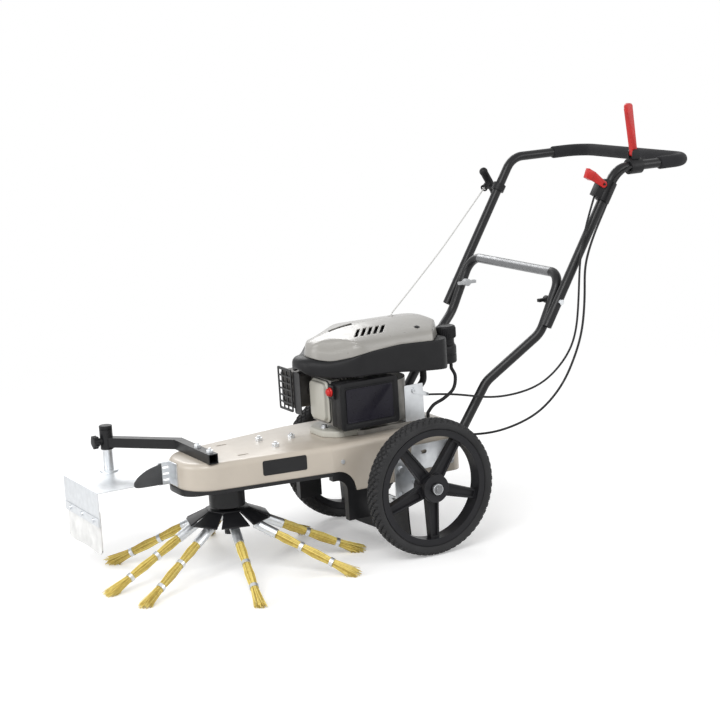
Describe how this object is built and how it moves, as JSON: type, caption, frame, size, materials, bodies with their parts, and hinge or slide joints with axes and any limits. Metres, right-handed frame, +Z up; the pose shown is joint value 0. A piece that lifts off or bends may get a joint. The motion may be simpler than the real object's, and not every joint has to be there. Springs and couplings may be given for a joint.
{
  "type": "power brush sweeper",
  "caption": "Walk-behind power brush sweeper: petrol engine on a beige deck, belt-driven rotary bristle brush under the nose, spoked wheels, folding handle and swivelling sheet guard.",
  "frame": {"origin": "On the ground, midway between the tyre contact points, under the axle.", "axes": "+X forward to the brush, +Y to the operator's left, +Z up."},
  "size_m": [1.684, 0.6941, 1.095],
  "materials": {
    "rim_black": "satin",
    "tyre": "moulded",
    "zinc": "zinc plated",
    "steel": "turned",
    "beige": "semi-gloss paint",
    "black_metal": "satin paint",
    "black_plastic": "moulded",
    "cowl_beige": "satin paint",
    "alloy": "as cast",
    "valve_cover": "pale paint",
    "muffler": "heat-proof paint",
    "rubber": "matt",
    "deflector": "moulded",
    "pale_rubber": "matt",
    "foam": "closed-cell foam",
    "red": "moulded",
    "bristle": "yellow coated wire",
    "rope": "braided",
    "iron": "as cast",
    "grey_knob": "moulded"
  },
  "bodies": {
    "chassis": {"axle": "zinc", "deck": "beige", "belt_cover": "black_metal", "side_rails": "black_metal", "spindle_housing": "black_metal", "side_brackets": "zinc", "flap_bar": "zinc", "rear_flap": "rubber", "guard_arm": "black_metal", "nose_deflector": "deflector", "nose_bracket": "zinc", "engine_block": "alloy", "valve_cover": "valve_cover", "muffler": "muffler", "muffler_guard": "black_metal", "blower_shroud": "black_plastic", "cowl": "cowl_beige", "recoil_starter": "black_plastic", "fuel_tank": "black_plastic", "air_filter_base": "black_plastic", "air_filter_cover": "black_plastic", "control_bracket": "zinc", "breather_tube": "rubber", "lower_handle": "black_metal", "fasteners": "zinc", "drive_belt": "rubber", "fuel_hose": "rubber", "throttle_cable": "rubber", "clutch_cable": "rubber", "starter_rope": "rope"},
    "wheel_left": {"wheel_rim_left": "rim_black", "tyre_left": "tyre"},
    "wheel_right": {"wheel_rim_right": "rim_black", "tyre_right": "tyre"},
    "brush": {"brush_hub": "black_metal", "spindle": "steel", "tuft_holders": "zinc", "bristle_tufts": "bristle", "crimp_bands": "zinc"},
    "crank": {"crankshaft": "steel", "flywheel": "iron"},
    "idler_arm": {"idler_arm": "zinc"},
    "idler_pulley": {"idler_pulley": "black_plastic"},
    "upper_handle": {"upper_handle": "black_metal", "foam_grip": "foam", "clutch_clamp": "black_plastic", "throttle_housing": "black_plastic", "rope_guide": "black_plastic"},
    "clutch_lever": {"clutch_lever": "red"},
    "throttle_lever": {"throttle_lever": "red"},
    "starter_grip": {"starter_grip": "black_plastic"},
    "wing_knob_left": {"wing_knob_left": "black_plastic"},
    "wing_knob_right": {"wing_knob_right": "grey_knob"},
    "guard_knob": {"guard_knob": "black_plastic"},
    "guard_cap": {"guard_cap": "black_plastic"},
    "guard": {"guard_hood": "zinc", "guard_flap": "pale_rubber"},
    "fuel_cap": {"fuel_cap": "black_plastic"},
    "primer_bulb": {"primer_bulb": "red"},
    "speed_arm": {"speed_arm": "zinc"}
  },
  "joints": [
    {"name": "wheel_left_spin", "type": "hinge", "parent": "chassis", "child": "wheel_left", "pos_m": [0, 0.229, 0.178], "axis": [0, 1, 0], "continuous": true},
    {"name": "wheel_right_spin", "type": "hinge", "parent": "chassis", "child": "wheel_right", "pos_m": [0, -0.229, 0.178], "axis": [0, 1, 0], "continuous": true},
    {"name": "brush_spin", "type": "hinge", "parent": "chassis", "child": "brush", "pos_m": [0.465, 0, 0.178], "axis": [0, 0, 1], "continuous": true},
    {"name": "crank_spin", "type": "hinge", "parent": "chassis", "child": "crank", "pos_m": [0.015, 0, 0.308], "axis": [0, 0, 1], "continuous": true},
    {"name": "idler_swing", "type": "hinge", "parent": "chassis", "child": "idler_arm", "pos_m": [0.15, 0.112, 0.284], "axis": [0, 0, -1], "range_deg": [0, 5]},
    {"name": "idler_spin", "type": "hinge", "parent": "idler_arm", "child": "idler_pulley", "pos_m": [0.255, 0.09979, 0.27], "axis": [0, 0, 1], "continuous": true},
    {"name": "handle_fold", "type": "hinge", "parent": "chassis", "child": "upper_handle", "pos_m": [-0.402, 0, 0.604], "axis": [0, 1, 0], "range_deg": [0, 120], "deforming": ["throttle_cable", "clutch_cable", "starter_rope"]},
    {"name": "clutch_lever_squeeze", "type": "hinge", "parent": "upper_handle", "child": "clutch_lever", "pos_m": [-0.65953, 0.246, 0.9635], "axis": [0, -1, 0], "range_deg": [0, 75], "stiffness_Nm_per_rad": 0.5, "springref_deg": -8.59},
    {"name": "throttle_lever_turn", "type": "hinge", "parent": "upper_handle", "child": "throttle_lever", "pos_m": [-0.55014, 0.246, 0.89444], "axis": [0, 1, 0], "range_deg": [0, 50]},
    {"name": "starter_pull", "type": "slide", "parent": "upper_handle", "child": "starter_grip", "axis": [-0.7878, -0.4312, 0.4398], "range_m": [0, 0.45], "stiffness_N_per_m": 15, "springref_m": -0.3, "deforming": ["starter_rope"]},
    {"name": "wing_knob_left_turn", "type": "hinge", "parent": "chassis", "child": "wing_knob_left", "pos_m": [-0.402, 0.2, 0.604], "axis": [0, 1, 0], "continuous": true},
    {"name": "wing_knob_right_turn", "type": "hinge", "parent": "chassis", "child": "wing_knob_right", "pos_m": [-0.402, -0.2, 0.604], "axis": [0, -1, 0], "continuous": true},
    {"name": "guard_knob_turn", "type": "hinge", "parent": "chassis", "child": "guard_knob", "pos_m": [0.7, -0.263, 0.324], "axis": [1, 0, 0], "continuous": true},
    {"name": "guard_raise", "type": "slide", "parent": "chassis", "child": "guard_cap", "axis": [0, 0, 1], "range_m": [0, 0.05]},
    {"name": "guard_swing", "type": "hinge", "parent": "guard_cap", "child": "guard", "pos_m": [0.674, -0.263, 0.328], "axis": [0, 0, -1], "range_deg": [0, 50]},
    {"name": "fuel_cap_turn", "type": "hinge", "parent": "chassis", "child": "fuel_cap", "pos_m": [-0.172, 0.058, 0.53], "axis": [0, 0, 1], "continuous": true},
    {"name": "primer_press", "type": "slide", "parent": "chassis", "child": "primer_bulb", "axis": [-1, 0, 0], "range_m": [0, 0.005], "stiffness_N_per_m": 800, "springref_m": -0.001},
    {"name": "speed_arm_turn", "type": "hinge", "parent": "chassis", "child": "speed_arm", "pos_m": [-0.046, 0.096, 0.4], "axis": [0, 1, 0], "range_deg": [0, 25]}
  ],
  "couplings": [
    {"joint": "crank_spin", "follows": "brush_spin", "ratio": 2},
    {"joint": "idler_swing", "follows": "clutch_lever_squeeze", "ratio": 0.066},
    {"joint": "speed_arm_turn", "follows": "throttle_lever_turn", "ratio": 0.5}
  ]
}
